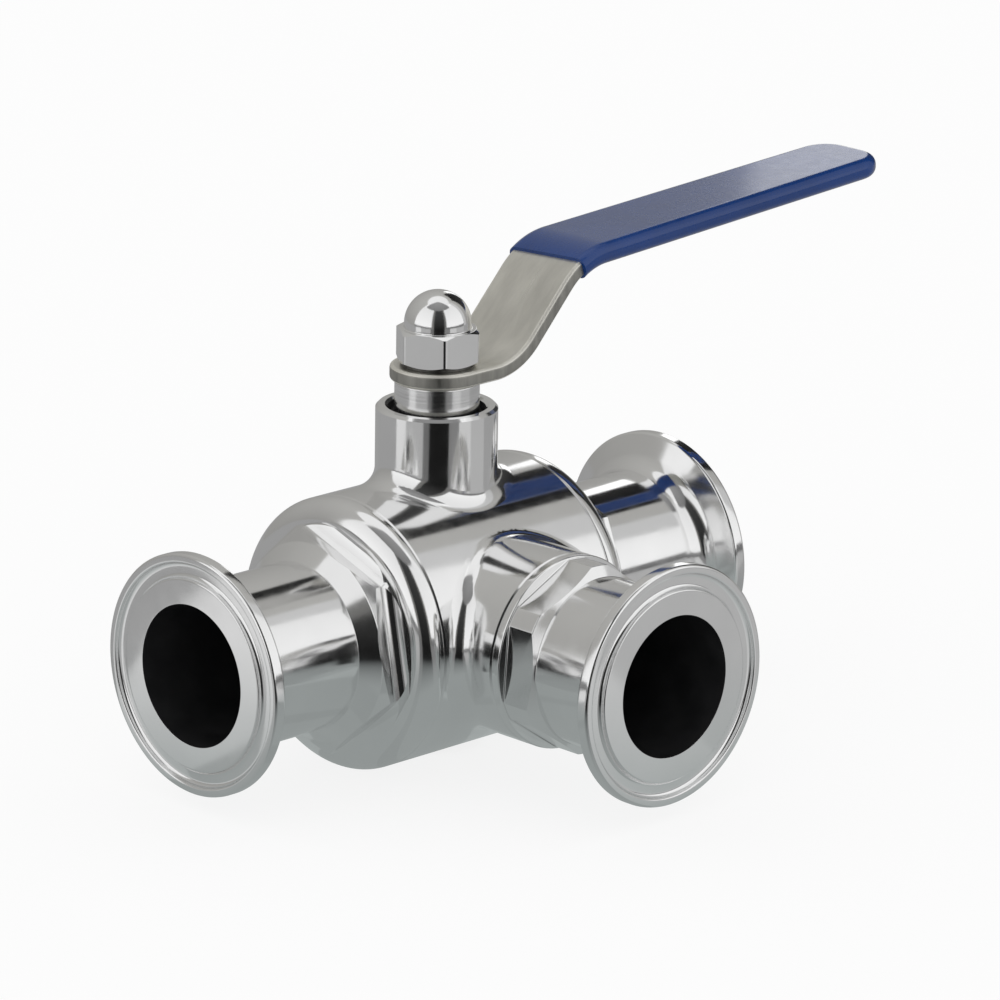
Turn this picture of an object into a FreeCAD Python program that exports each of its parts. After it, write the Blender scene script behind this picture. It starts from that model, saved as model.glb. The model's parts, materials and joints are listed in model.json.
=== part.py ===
import FreeCAD, Part
import math
import os

from FreeCAD import Placement, Rotation, Vector

# Three-way ball valve with clamp ends, made as the separate pieces that come apart on a bench.
# Lengths are millimetres and angles are degrees. The pieces are built about the centre of the ball:
# the run ports point along -X and +X, the branch port along -Y, and the stem stands along +Z.
# On writing, everything moves so that the origin is the centre of the branch port's clamp face.

# Bore and clamp ferrules
bore_d = 29.6
ferrule_d = 50.5
ferrule_rim = 2.85
ferrule_back_angle = 20.0
ferrule_fillet = 5.0
ferrule_edge = 0.35
groove_pitch_d = 43.5
groove_width = 3.2
groove_depth = 1.3
tube_d = 35.4
run_reach = 68.0
branch_reach = 70.0

# Ball and seats
seat_bore_step = 0.3
seat_land = 1.2
seat_margin = 0.32
seat_shoulder = 1.8
seat_depth = 6.5
seat_fit = 0.1
seat_floor = 1.0
ball_clearance = 0.05
slot_width = 8.0
slot_depth = 5.0

# Body
cavity_gap = 0.7
body_wall = 4.6
boss_wall = 2.2
boss_height = 9.0
boss_fillet = 4.0
neck_fillet = 4.5
seam_chamfer = 0.4

# End caps of the run ports
spigot_gap = 1.3
thread_fit = 0.1
run_flange = 5.6
run_flange_round = 4.8
run_hex_flats = 41.4
run_hex_corner_d = 48.0
run_hex_length = 4.7
run_hex_chamfer = 0.9
run_hex_chamfer_angle = 17.0
run_cutter_round = 3.0
run_base_cone = 3.3
left_hex_turn = 41.0
right_hex_turn = 15.0

# End cap of the branch port
branch_flange = 2.2
branch_flange_round = 0.4
branch_hex_flats = 36.5
branch_hex_corner_d = 39.9
branch_hex_length = 7.4
branch_hex_chamfer = 0.8
branch_hex_chamfer_angle = 30.0
branch_cutter_round = 0.4
branch_base_cone = 0.5
branch_hex_turn = 26.0

# Cap gaskets
run_gasket_width = 2.1
run_gasket_thickness = 1.5
branch_gasket_width = 1.3
branch_gasket_thickness = 1.2
gasket_fit = 0.1

# Stem, its thrust washer and the ledge it bears on
stem_d = 12.0
stem_running_fit = 0.05
stem_shoulder_d = 16.0
stem_shoulder_height = 3.0
stem_lift = 0.5
stem_edge = 0.4
pocket_clearance = 0.2
tang_play = 0.1
thrust_washer_thickness = 1.5
axial_play = 0.05
ledge_height = 3.0

# Packing chamber, packing and gland follower
packing_width = 4.1
packing_fit = 0.05
chamber_depth = 12.8
neck_wall = 2.55
neck_rim_chamfer = 0.6
packing_edge = 1.0
v_ring_thickness = 1.5
v_ring_count = 3
v_angle = 35.0
packing_top_height = 3.0
follower_flange_height = 2.5
follower_collar_wall = 2.8
follower_proud = 5.35

# Lever
lever_lift = 0.1
lever_thickness = 3.2
lever_head_width = 19.8
lever_tip_width = 17.9
lever_edge = 0.4
lower_bend_x = 15.2
lower_bend_radius = 16.8
arm_angle = 46.9
upper_bend_x = 33.8
upper_bend_radius = 15.0
grip_angle = 3.5
grip_end_x = 126.1
tip_radius = 6.0
drive_flats = 9.0
drive_fit = 0.05

# Dipped sleeve on the lever
sleeve_wall = 0.75
sleeve_start_x = 31.9
sleeve_start_tilt = 18.0
sleeve_start_skew = 4.3
sleeve_round = 2.1
sleeve_rounding_lead = 12.0

# Lock washer and cap nut
thread_d = 10.0
nut_thread_fit = 0.05
washer_d = 15.4
washer_thickness = 0.7
washer_bore_d = 10.4
washer_slit = 1.2
washer_slit_turn = 120.0
nut_flats = 16.0
nut_hex_height = 7.1
nut_face_chamfer = 0.7
nut_chamfer_angle = 30.0
nut_dome_d = 14.0
nut_dome_neck = 0.9
nut_hole_depth = 11.0
nut_turn = 56.0

# Sizes that follow from the ones above
bore_r = bore_d / 2
tube_r = tube_d / 2
land_in = bore_r + seat_bore_step
land_out = land_in + seat_land
ball_r = math.sqrt(2) * (land_out + seat_margin)
seat_r = land_out + seat_shoulder
seat_pocket_r = seat_r + seat_fit
cavity_r = ball_r + cavity_gap
body_r = cavity_r + body_wall
boss_r = seat_pocket_r + boss_wall
boss_reach = body_r + boss_height


def ball_depth(radius):
    """Distance from the ball's centre to a seat's face, at a radius about the port's axis."""
    return math.sqrt((ball_r + ball_clearance) ** 2 - radius ** 2)


seat_nose = ball_depth(land_out)
seat_back = seat_nose + seat_depth
body_half = seat_back + seat_floor
run_spigot_r = cavity_r - thread_fit
run_spigot_in = seat_pocket_r + spigot_gap
branch_spigot_r = seat_pocket_r - thread_fit

slot_floor = ball_r - slot_depth
shoulder_bottom = ball_r + stem_lift
shoulder_top = shoulder_bottom + stem_shoulder_height
pocket_top = shoulder_top + thrust_washer_thickness + axial_play
ledge_top = pocket_top + ledge_height
neck_top = ledge_top + chamber_depth
stem_r = stem_d / 2
shoulder_r = stem_shoulder_d / 2
pocket_r = shoulder_r + pocket_clearance
packing_in = stem_r + stem_running_fit
packing_out = packing_in + packing_width
chamber_r = packing_out + packing_fit
neck_r = chamber_r + neck_wall
v_height = packing_width / 2 * math.tan(math.radians(v_angle))
packing_top = ledge_top + packing_edge + v_ring_count * v_ring_thickness + packing_top_height
follower_collar_r = packing_in + follower_collar_wall
follower_top = neck_top + follower_proud

lever_bottom = follower_top + lever_lift
lever_top = lever_bottom + lever_thickness
washer_top = lever_top + washer_thickness
nut_hex_top = washer_top + nut_hex_height
thread_r = thread_d / 2
thread_top = washer_top + nut_hole_depth - 1

X = Vector(1, 0, 0)
Y = Vector(0, 1, 0)
Z = Vector(0, 0, 1)
CENTRE = Vector(0, 0, 0)


def profile_point(radius, height):
    """A point of a turned outline, in the half plane beside the Z axis."""
    return Vector(radius, 0, height)


def turned(start, *steps):
    """Solid turned about Z. A step is a corner (r, z), or an arc as (point on it, its end)."""
    edges = []
    here = start
    for step in steps + (start,):
        if isinstance(step[0], tuple):
            through, end = step
            arc = Part.Arc(profile_point(*here), profile_point(*through), profile_point(*end))
            edges.append(arc.toShape())
        else:
            end = step
            edges.append(Part.LineSegment(profile_point(*here), profile_point(*end)).toShape())
        here = end
    face = Part.Face(Part.Wire(edges))
    return face.revolve(CENTRE, Z, 360)


def corner_arc(centre, radius, from_angle, to_angle):
    """The middle point and the end point of an arc about a centre (r, z), for a turned outline."""
    middle = math.radians((from_angle + to_angle) / 2)
    end = math.radians(to_angle)
    on_arc = (centre[0] + radius * math.cos(middle), centre[1] + radius * math.sin(middle))
    at_end = (centre[0] + radius * math.cos(end), centre[1] + radius * math.sin(end))
    return on_arc, at_end


def ring(inner, outer, bottom, top):
    """A plain ring about Z."""
    return turned((inner, bottom), (outer, bottom), (outer, top), (inner, top))


def hexagon(flats, turn, bottom, top):
    """A hexagonal prism about Z, with one corner at the angle turn from +X."""
    corner = flats / 2 / math.cos(math.pi / 6)
    angles = [math.radians(turn + 60 * k) for k in range(7)]
    points = [Vector(corner * math.cos(a), corner * math.sin(a), bottom) for a in angles]
    return Part.Face(Part.makePolygon(points)).extrude(Z * (top - bottom))


def toward(shape, direction):
    """Turn a piece built along +Z so that it points along a port, with its own +Y upright."""
    turned_piece = shape.copy()
    turned_piece.Placement = Placement(CENTRE, Rotation(Z.cross(direction), Z, direction, "ZYX"))
    return turned_piece


def edges_where(shape, test):
    """The edges whose middle point passes a test."""
    chosen = []
    for edge in shape.Edges:
        middle = edge.valueAt((edge.FirstParameter + edge.LastParameter) / 2)
        if test(middle):
            chosen.append(edge)
    return chosen


def near(value, target):
    return abs(value - target) < 0.02


def ferrule_steps(reach):
    """Outline of a clamp ferrule: trumpet from the tube, back cone, rim, face and gasket groove."""
    ferrule_r = ferrule_d / 2
    rim_back = reach - ferrule_rim
    slope = math.radians(ferrule_back_angle)
    centre_r = tube_r + ferrule_fillet
    rise = ferrule_r - centre_r
    centre_z = rim_back - (ferrule_fillet + rise * math.sin(slope)) / math.cos(slope)
    trumpet = corner_arc((centre_r, centre_z), ferrule_fillet, 180, 90 + ferrule_back_angle)
    groove_r = groove_pitch_d / 2
    return [
        (tube_r, centre_z),
        trumpet,
        (ferrule_r - ferrule_edge, rim_back - ferrule_edge * math.tan(slope)),
        (ferrule_r, rim_back + ferrule_edge),
        (ferrule_r, reach - ferrule_edge),
        (ferrule_r - ferrule_edge, reach),
        (groove_r + groove_width / 2, reach),
        ((groove_r, reach - groove_depth), (groove_r - groove_width / 2, reach)),
        (bore_r, reach),
    ]


def milled_flats(flats, turn, cutter_round, bottom, top):
    """What a round-cornered cutter takes away beside six flats about Z, with one corner at the angle turn."""
    flat_r = flats / 2
    reach = 2 * flat_r
    corner = corner_arc((flat_r + cutter_round, bottom + cutter_round), cutter_round, 270, 180)
    outline = [
        Part.LineSegment(profile_point(flat_r, top), profile_point(reach, top)).toShape(),
        Part.LineSegment(profile_point(reach, top), profile_point(reach, bottom)).toShape(),
        Part.LineSegment(profile_point(reach, bottom), profile_point(flat_r + cutter_round, bottom)).toShape(),
        Part.Arc(profile_point(flat_r + cutter_round, bottom), profile_point(*corner[0]),
                 profile_point(*corner[1])).toShape(),
        Part.LineSegment(profile_point(flat_r, bottom + cutter_round), profile_point(flat_r, top)).toShape(),
    ]
    bar = Part.Face(Part.Wire(outline)).extrude(Y * (2 * reach))
    bar.translate(Y * (-reach))
    bars = []
    for k in range(6):
        placed = bar.copy()
        placed.rotate(CENTRE, Z, turn + 30 + 60 * k)
        bars.append(placed)
    return bars


def end_cap(reach, spigot_steps, seam, flange_r, flange, flange_round, hex_flats, hex_corner_r,
            hex_length, hex_chamfer, hex_chamfer_angle, hex_turn, cutter_round, base_cone):
    """One end cap along +Z: spigot, flange, wrench hexagon, tube and clamp ferrule in one piece."""
    flange_face = seam + flange
    hex_front = flange_face + hex_length
    cone_end = hex_front + base_cone
    chamfer_width = hex_chamfer / math.tan(math.radians(hex_chamfer_angle))
    shoulder = corner_arc((flange_r - flange_round, flange_face - flange_round), flange_round, 0, 90)
    outline = spigot_steps + [
        (flange_r - seam_chamfer, seam),
        (flange_r, seam + seam_chamfer),
        (flange_r, flange_face - flange_round),
        shoulder,
        (hex_corner_r, flange_face),
        (hex_corner_r, hex_front - hex_chamfer),
        (hex_corner_r - chamfer_width, hex_front),
        (tube_r + base_cone, hex_front),
        (tube_r, cone_end),
    ] + ferrule_steps(reach)
    cap = turned((bore_r, seat_back), *outline)
    return cap.cut(milled_flats(hex_flats, hex_turn, cutter_round, flange_face, cone_end))


def run_end_cap(hex_turn):
    """End cap of a run port, whose spigot holds the seat in a pocket."""
    spigot = [
        (seat_pocket_r, seat_back),
        (seat_pocket_r, run_spigot_in),
        (run_spigot_r, run_spigot_in),
        (run_spigot_r, body_half),
    ]
    return end_cap(run_reach, spigot, body_half, body_r, run_flange, run_flange_round,
                   run_hex_flats, run_hex_corner_d / 2, run_hex_length, run_hex_chamfer,
                   run_hex_chamfer_angle, hex_turn, run_cutter_round, run_base_cone)


def branch_end_cap():
    """End cap of the branch port, whose spigot presses on the back of the seat."""
    spigot = [
        (branch_spigot_r, seat_back),
        (branch_spigot_r, boss_reach),
    ]
    return end_cap(branch_reach, spigot, boss_reach, boss_r, branch_flange, branch_flange_round,
                   branch_hex_flats, branch_hex_corner_d / 2, branch_hex_length, branch_hex_chamfer,
                   branch_hex_chamfer_angle, branch_hex_turn, branch_cutter_round, branch_base_cone)


def seat():
    """Seat ring along +Z: spherical land on the ball, and a bevel that clears the next seat."""
    middle = (land_in + land_out) / 2
    land = ((middle, ball_depth(middle)), (land_out, seat_nose))
    return turned((land_in, seat_back), (land_in, ball_depth(land_in)), land,
                  (seat_r, seat_nose + seat_shoulder), (seat_r, seat_back))


def ball():
    """Ball with a T-shaped passage, and a slot in its top for the stem's tang."""
    passage_run = Part.makeCylinder(bore_r, 4 * ball_r, X * (-2 * ball_r), X)
    passage_branch = Part.makeCylinder(bore_r, 2 * ball_r, CENTRE, -Y)
    slot = Part.makeBox(slot_width, 2 * ball_r, slot_depth + 1,
                        Vector(-slot_width / 2, -ball_r, slot_floor))
    return Part.makeSphere(ball_r).cut(passage_run.fuse(passage_branch)).cut(slot)


def body_outside():
    """Outside of the body: barrel, branch boss and stem neck, blended into each other."""
    barrel = Part.makeCylinder(body_r, 2 * body_half, X * (-body_half), X)
    barrel = barrel.makeChamfer(seam_chamfer, edges_where(barrel, lambda p: near(abs(p.x), body_half)))
    boss = Part.makeCylinder(boss_r, boss_reach, CENTRE, -Y)
    boss = boss.makeChamfer(seam_chamfer, edges_where(boss, lambda p: near(p.y, -boss_reach)))
    neck = turned((0, 0), (neck_r, 0), (neck_r, neck_top - neck_rim_chamfer),
                  (neck_r - neck_rim_chamfer, neck_top), (0, neck_top))

    with_boss = barrel.fuse(boss)

    def boss_root(p):
        return near(math.hypot(p.y, p.z), body_r) and near(math.hypot(p.x, p.z), boss_r)

    with_boss = with_boss.makeFillet(boss_fillet, edges_where(with_boss, boss_root))
    with_neck = with_boss.fuse(neck)

    def neck_root(p):
        return near(math.hypot(p.y, p.z), body_r) and near(math.hypot(p.x, p.y), neck_r)

    return with_neck.makeFillet(neck_fillet, edges_where(with_neck, neck_root))


def valve_body():
    """Body with the ball's cavity, the branch bore, the stem's pocket and the packing chamber."""
    cavity = Part.makeCylinder(cavity_r, 2 * body_half, X * (-body_half), X)
    branch_bore = Part.makeCylinder(seat_pocket_r, boss_reach, CENTRE, -Y)
    hollow = cavity.fuse(branch_bore)
    run_recess_r = cavity_r + run_gasket_width + gasket_fit
    run_recess = ring(0.8 * cavity_r, run_recess_r, body_half - run_gasket_thickness, body_half)
    hollow = hollow.fuse([toward(run_recess, X), toward(run_recess, -X)])
    branch_recess_r = seat_pocket_r + branch_gasket_width + gasket_fit
    branch_recess = ring(0.8 * seat_pocket_r, branch_recess_r,
                         boss_reach - branch_gasket_thickness, boss_reach)
    hollow = hollow.fuse(toward(branch_recess, -Y))
    stem_way = turned((0, 0), (pocket_r, 0), (pocket_r, pocket_top),
                      (packing_in, pocket_top), (packing_in, ledge_top),
                      (chamber_r, ledge_top), (chamber_r, neck_top - neck_rim_chamfer),
                      (chamber_r + neck_rim_chamfer, neck_top), (0, neck_top))
    return body_outside().cut(hollow).cut(stem_way)


def run_gasket():
    return ring(cavity_r, cavity_r + run_gasket_width, body_half - run_gasket_thickness, body_half)


def branch_gasket():
    return ring(seat_pocket_r, seat_pocket_r + branch_gasket_width,
                boss_reach - branch_gasket_thickness, boss_reach)


def stem():
    """Stem: tang, blow-out shoulder, shank, drive flats for the lever and the thread."""
    tang_bottom = slot_floor + tang_play
    flats_top = lever_top - stem_edge
    shaft = turned((0, tang_bottom), (shoulder_r, tang_bottom), (shoulder_r, shoulder_top),
                   (stem_r, shoulder_top), (stem_r, flats_top - stem_edge),
                   (stem_r - stem_edge, flats_top), (thread_r, flats_top),
                   (thread_r, thread_top - stem_edge), (thread_r - stem_edge, thread_top),
                   (0, thread_top))
    half_tang = slot_width / 2 - tang_play
    for side in (-1, 1):
        beside_tang = Part.makeBox(shoulder_r, 2 * shoulder_r, shoulder_bottom - tang_bottom,
                                   Vector(half_tang, -shoulder_r, tang_bottom))
        beside_drive = Part.makeBox(2 * stem_r, stem_r, washer_top - lever_bottom,
                                    Vector(-stem_r, drive_flats / 2, lever_bottom))
        if side < 0:
            beside_tang.rotate(CENTRE, Z, 180)
            beside_drive.rotate(CENTRE, Z, 180)
        shaft = shaft.cut(beside_tang).cut(beside_drive)
    return shaft


def thrust_washer():
    bottom = shoulder_top + axial_play / 2
    return ring(packing_in, shoulder_r, bottom, bottom + thrust_washer_thickness)


def packing_ring(lower_edge, upper_edge, lower_v, upper_v):
    """Packing ring: each end is flat, or rises to a ridge in the middle of the ring."""
    ridge_r = (packing_in + packing_out) / 2
    outline = [(packing_in, lower_edge)]
    if lower_v:
        outline.append((ridge_r, lower_edge + v_height))
    outline += [(packing_out, lower_edge), (packing_out, upper_edge)]
    if upper_v:
        outline.append((ridge_r, upper_edge + v_height))
    outline.append((packing_in, upper_edge))
    return turned(*outline)


def v_ring(number):
    """One chevron ring of the packing, counted from the bottom."""
    lower = ledge_top + packing_edge + number * v_ring_thickness
    return packing_ring(lower, lower + v_ring_thickness, True, True)


def gland_follower():
    """Follower: a flange on the packing and a collar that carries the lever's pressure."""
    flange_top = packing_top + follower_flange_height
    collar = follower_collar_r
    return turned((packing_in, packing_top), (packing_out, packing_top), (packing_out, flange_top),
                  (collar, flange_top), (collar, follower_top - stem_edge),
                  (collar - stem_edge, follower_top), (packing_in, follower_top))


def lever_corners():
    """Corners of the lever's underside, from the head over both bends to the tip, as (x, z)."""
    arm_rise = (upper_bend_x - lower_bend_x) * math.tan(math.radians(arm_angle))
    bend_z = lever_bottom + arm_rise
    far_x = grip_end_x + lever_head_width
    far_z = bend_z + (far_x - upper_bend_x) * math.tan(math.radians(grip_angle))
    return [(-lever_head_width, lever_bottom), (lower_bend_x, lever_bottom),
            (upper_bend_x, bend_z), (far_x, far_z)]


def direction(start, end):
    length = math.hypot(end[0] - start[0], end[1] - start[1])
    return (end[0] - start[0]) / length, (end[1] - start[1]) / length


def strip_side(lift):
    """Edges of the lever's side line moved up by a lift, with concentric arcs at both bends."""
    corners = lever_corners()
    ways = [direction(corners[k], corners[k + 1]) for k in range(3)]
    lifted = [(corners[0][0], corners[0][1] + lift)]
    for k in (1, 2):
        before, after = ways[k - 1], ways[k]
        share = lift / (1 + before[0] * after[0] + before[1] * after[1])
        lifted.append((corners[k][0] - share * (before[1] + after[1]),
                       corners[k][1] + share * (before[0] + after[0])))
    lifted.append((corners[3][0] - lift * ways[2][1], corners[3][1] + lift * ways[2][0]))

    edges = []
    here = lifted[0]
    for k, radius, side in ((1, lower_bend_radius - lift, 1), (2, upper_bend_radius + lift, -1)):
        before, after = ways[k - 1], ways[k]
        half_turn = math.acos(before[0] * after[0] + before[1] * after[1]) / 2
        tangent = radius * math.tan(half_turn)
        corner = lifted[k]
        arc_start = (corner[0] - tangent * before[0], corner[1] - tangent * before[1])
        arc_end = (corner[0] + tangent * after[0], corner[1] + tangent * after[1])
        to_centre = direction(before, after)
        inset = radius / math.cos(half_turn) - radius
        arc_middle = (corner[0] + inset * to_centre[0], corner[1] + inset * to_centre[1])
        edges.append(side_line(here, arc_start))
        edges.append(Part.Arc(side_point(arc_start), side_point(arc_middle), side_point(arc_end)).toShape())
        here = arc_end
    edges.append(side_line(here, lifted[3]))
    return edges, lifted[0], lifted[3]


def side_point(point):
    return Vector(point[0], 0, point[1])


def side_line(start, end):
    return Part.LineSegment(side_point(start), side_point(end)).toShape()


def bent_strip(lower_lift, upper_lift, half_width):
    """Strip that follows the lever's bends, between two lifts above its underside."""
    lower, lower_start, lower_end = strip_side(lower_lift)
    upper, upper_start, upper_end = strip_side(upper_lift)
    ends = [side_line(lower_end, upper_end), side_line(lower_start, upper_start)]
    outline = Part.Wire(Part.__sortEdges__(lower + upper + ends))
    strip = Part.Face(outline).extrude(Y * (2 * half_width))
    strip.translate(Y * (-half_width))
    return strip


def plan_outline(start_x, margin):
    """Upright prism over the lever seen from above, from start_x to its rounded tip, with a margin."""
    head = lever_head_width / 2 + margin
    tip = lever_tip_width / 2 + margin
    end_x = grip_end_x + margin
    corners = [Vector(start_x, -head, 0), Vector(end_x, -tip, 0), Vector(end_x, tip, 0),
               Vector(start_x, head, 0), Vector(start_x, -head, 0)]
    prism = Part.Face(Part.makePolygon(corners)).extrude(Z * (4 * lever_top))
    tip_corners = edges_where(prism, lambda p: near(p.x, end_x) and near(abs(p.y), tip))
    return prism.makeFillet(tip_radius + margin, tip_corners)


def rim_edges(bar, start_x):
    """Edges round a bent bar's upper and lower faces, without the lines across its bends."""
    chosen = []
    for edge in bar.Edges:
        half_way = (edge.FirstParameter + edge.LastParameter) / 2
        middle = edge.valueAt(half_way)
        along = edge.tangentAt(half_way)
        upright = abs(along.z) > 0.99
        across_bend = abs(along.y) > 0.99 and 0 < middle.x < grip_end_x - tip_radius
        if middle.x > start_x + 0.02 and not upright and not across_bend:
            chosen.append(edge)
    return chosen


def lever_bar():
    """The bent steel strip with its round head and tip, before its hole."""
    half = lever_head_width / 2
    strip = bent_strip(0, lever_thickness, half)
    head = Part.makeCylinder(half, 4 * lever_top)
    bar = strip.common(plan_outline(0, 0).fuse(head)).Solids[0]
    return bar.makeChamfer(lever_edge, rim_edges(bar, -lever_head_width))


def lever():
    """Lever with the double-D hole that takes the stem's drive flats."""
    hole = Part.makeCylinder(stem_r + drive_fit, 2 * lever_thickness, Z * (lever_bottom - 1))
    flats = Part.makeBox(2 * stem_d, drive_flats + 2 * drive_fit, 4 * lever_thickness,
                         Vector(-stem_d, -drive_flats / 2 - drive_fit, lever_bottom - lever_thickness))
    return lever_bar().cut(hole.common(flats))


def lever_sleeve():
    """Dipped sleeve that closes over the lever's tip, rounded while longer and then cut to its start."""
    strip = bent_strip(-sleeve_wall, lever_thickness + sleeve_wall, lever_head_width)
    lead_x = sleeve_start_x - sleeve_rounding_lead
    outside = strip.common(plan_outline(lead_x, sleeve_wall)).Solids[0]
    outside = outside.makeFillet(sleeve_round, rim_edges(outside, lead_x))
    corners = lever_corners()
    start_z = corners[1][1] + (sleeve_start_x - lower_bend_x) * math.tan(math.radians(arm_angle))
    size = 4 * lever_head_width
    before_start = Part.makeBox(size, size, size, Vector(-size, -size / 2, -size / 2))
    before_start.rotate(CENTRE, Z, sleeve_start_skew)
    before_start.rotate(CENTRE, Y, -sleeve_start_tilt)
    before_start.translate(Vector(sleeve_start_x, 0, start_z + lever_thickness / 2))
    return outside.cut(before_start).cut(lever_bar())


def lock_washer():
    """Split lock washer under the cap nut."""
    washer = ring(washer_bore_d / 2, washer_d / 2, lever_top, washer_top)
    slit = Part.makeBox(washer_d, washer_slit, 2 * washer_thickness,
                        Vector(0, -washer_slit / 2, lever_top - washer_thickness / 2))
    slit.rotate(CENTRE, Z, washer_slit_turn)
    return washer.cut(slit)


def cap_nut():
    """Domed cap nut with chamfered hexagon and a blind thread hole."""
    flat_r = nut_flats / 2
    wide_r = flat_r + nut_face_chamfer / math.tan(math.radians(nut_chamfer_angle))
    chamfers = turned((0, washer_top), (flat_r, washer_top), (wide_r, washer_top + nut_face_chamfer),
                      (wide_r, nut_hex_top - nut_face_chamfer), (flat_r, nut_hex_top), (0, nut_hex_top))
    hex_part = hexagon(nut_flats, nut_turn, washer_top, nut_hex_top).common(chamfers)
    dome_r = nut_dome_d / 2
    dome_centre = (0, nut_hex_top + nut_dome_neck)
    dome = turned((0, washer_top + nut_face_chamfer), (dome_r, washer_top + nut_face_chamfer),
                  (dome_r, nut_hex_top + nut_dome_neck), corner_arc(dome_centre, dome_r, 0, 90))
    hole_r = thread_r + nut_thread_fit
    hole_top = washer_top + nut_hole_depth
    hole = turned((0, washer_top), (hole_r, washer_top), (hole_r, hole_top),
                  (0, hole_top + hole_r / 2))
    return hex_part.fuse(dome).removeSplitter().cut(hole)


def pieces():
    """Every node of the valve, by name."""
    nodes = {
        "valve_body": valve_body(),
        "left_end_cap": toward(run_end_cap(left_hex_turn), -X),
        "right_end_cap": toward(run_end_cap(right_hex_turn), X),
        "branch_end_cap": toward(branch_end_cap(), -Y),
        "left_cap_gasket": toward(run_gasket(), -X),
        "right_cap_gasket": toward(run_gasket(), X),
        "branch_cap_gasket": toward(branch_gasket(), -Y),
        "left_seat": toward(seat(), -X),
        "right_seat": toward(seat(), X),
        "branch_seat": toward(seat(), -Y),
        "ball": ball(),
        "stem": stem(),
        "stem_thrust_washer": thrust_washer(),
        "packing_base_ring": packing_ring(ledge_top, ledge_top + packing_edge, False, True),
        "packing_top_ring": packing_ring(packing_top - packing_top_height, packing_top, True, False),
        "gland_follower": gland_follower(),
        "lever": lever(),
        "lever_sleeve": lever_sleeve(),
        "lock_washer": lock_washer(),
        "cap_nut": cap_nut(),
    }
    for number in range(v_ring_count):
        nodes["packing_v_ring_%d" % (number + 1)] = v_ring(number)
    return nodes


os.makedirs("parts", exist_ok=True)
for name, shape in pieces().items():
    shape.translate(Y * branch_reach)
    shape.exportStep("parts/%s.step" % name)
    print(name, shape.isValid(), len(shape.Solids), round(shape.Volume, 1))
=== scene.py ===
"""Three-way ball valve with clamp ends: finishes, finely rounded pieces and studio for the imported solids."""

import json
import math

import bmesh
import bpy
from mathutils import Matrix, Vector


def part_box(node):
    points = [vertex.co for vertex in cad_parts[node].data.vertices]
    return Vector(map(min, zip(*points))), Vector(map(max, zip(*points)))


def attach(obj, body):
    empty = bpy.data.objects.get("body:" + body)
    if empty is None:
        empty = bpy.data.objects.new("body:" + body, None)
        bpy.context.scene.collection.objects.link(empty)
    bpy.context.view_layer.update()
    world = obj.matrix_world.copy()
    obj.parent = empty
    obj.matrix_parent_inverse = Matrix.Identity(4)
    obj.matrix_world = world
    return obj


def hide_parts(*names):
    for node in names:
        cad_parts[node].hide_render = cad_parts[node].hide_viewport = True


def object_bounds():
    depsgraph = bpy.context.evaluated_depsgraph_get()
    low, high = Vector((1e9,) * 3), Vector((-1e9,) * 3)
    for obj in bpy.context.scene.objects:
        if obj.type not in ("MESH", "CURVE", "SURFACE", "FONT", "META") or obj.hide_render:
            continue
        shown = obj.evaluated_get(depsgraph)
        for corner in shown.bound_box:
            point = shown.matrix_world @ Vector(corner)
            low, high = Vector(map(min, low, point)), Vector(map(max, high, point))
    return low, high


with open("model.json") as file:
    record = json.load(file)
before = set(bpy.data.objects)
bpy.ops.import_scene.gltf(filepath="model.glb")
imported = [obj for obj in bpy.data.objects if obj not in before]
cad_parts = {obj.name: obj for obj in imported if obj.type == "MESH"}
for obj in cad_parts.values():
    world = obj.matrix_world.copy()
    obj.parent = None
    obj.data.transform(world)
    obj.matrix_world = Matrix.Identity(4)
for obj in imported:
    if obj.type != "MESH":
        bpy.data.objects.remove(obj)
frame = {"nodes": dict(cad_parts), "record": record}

bl_info = {
    "name": "Three-way ball valve",
    "version": (1, 0, 0),
    "blender": (4, 5, 0),
    "location": "3D View > Sidebar > Valve",
    "description": "Dresses the solids of a three-way ball valve with finishes and sets up its studio",
    "category": "Object",
}

NODES = frame["nodes"]
CAD_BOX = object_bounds()
CASING = "casing"
LEVER_SET = "lever_set"
TURNING = ("ball", "stem", "lever", "lever_sleeve", "lock_washer", "cap_nut")
MM = 0.001


def node_middle(node):
    """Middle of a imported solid's box."""
    low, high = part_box(node)
    return (low + high) / 2


# The stem stands over the ball's centre, and the axis of the left cap passes through that centre.
BALL_CENTRE = Vector((node_middle("stem").x, node_middle("left_end_cap").y, node_middle("left_end_cap").z))
FLOOR_Z = CAD_BOX[0].z


# Properties

def size(name, description, default):
    """A length in millimetres for a property group."""
    return bpy.props.FloatProperty(name=name, description=description + ", in millimetres", default=default,
                                   precision=3)


def angle(name, description, default):
    """An angle in degrees for a property group."""
    return bpy.props.FloatProperty(name=name, description=description + ", in degrees", default=default,
                                   precision=4)


def colour(name, description, default):
    """A colour for a property group."""
    return bpy.props.FloatVectorProperty(name=name, description=description, subtype="COLOR", min=0, max=1,
                                         default=default)


# Shared shader building

def new_material(name):
    """Material with an empty node tree."""
    material = bpy.data.materials.new(name)
    material.use_nodes = True
    material.node_tree.nodes.clear()
    return material


def link(material, source, socket_out, target, socket_in):
    material.node_tree.links.new(source.outputs[socket_out], target.inputs[socket_in])


def add_node(material, kind, values=None, links=None, **settings):
    """Node with values and (node, socket) links for its sockets, and other settings."""
    node = material.node_tree.nodes.new(kind)
    for key, value in settings.items():
        setattr(node, key, value)
    for key, value in (values or {}).items():
        node.inputs[key].default_value = value
    for key, (source, socket) in (links or {}).items():
        link(material, source, socket, node, key)
    return node


def show(material, source, socket):
    """Put a shader on the surface."""
    add_node(material, "ShaderNodeOutputMaterial", links={"Surface": (source, socket)})


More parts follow.
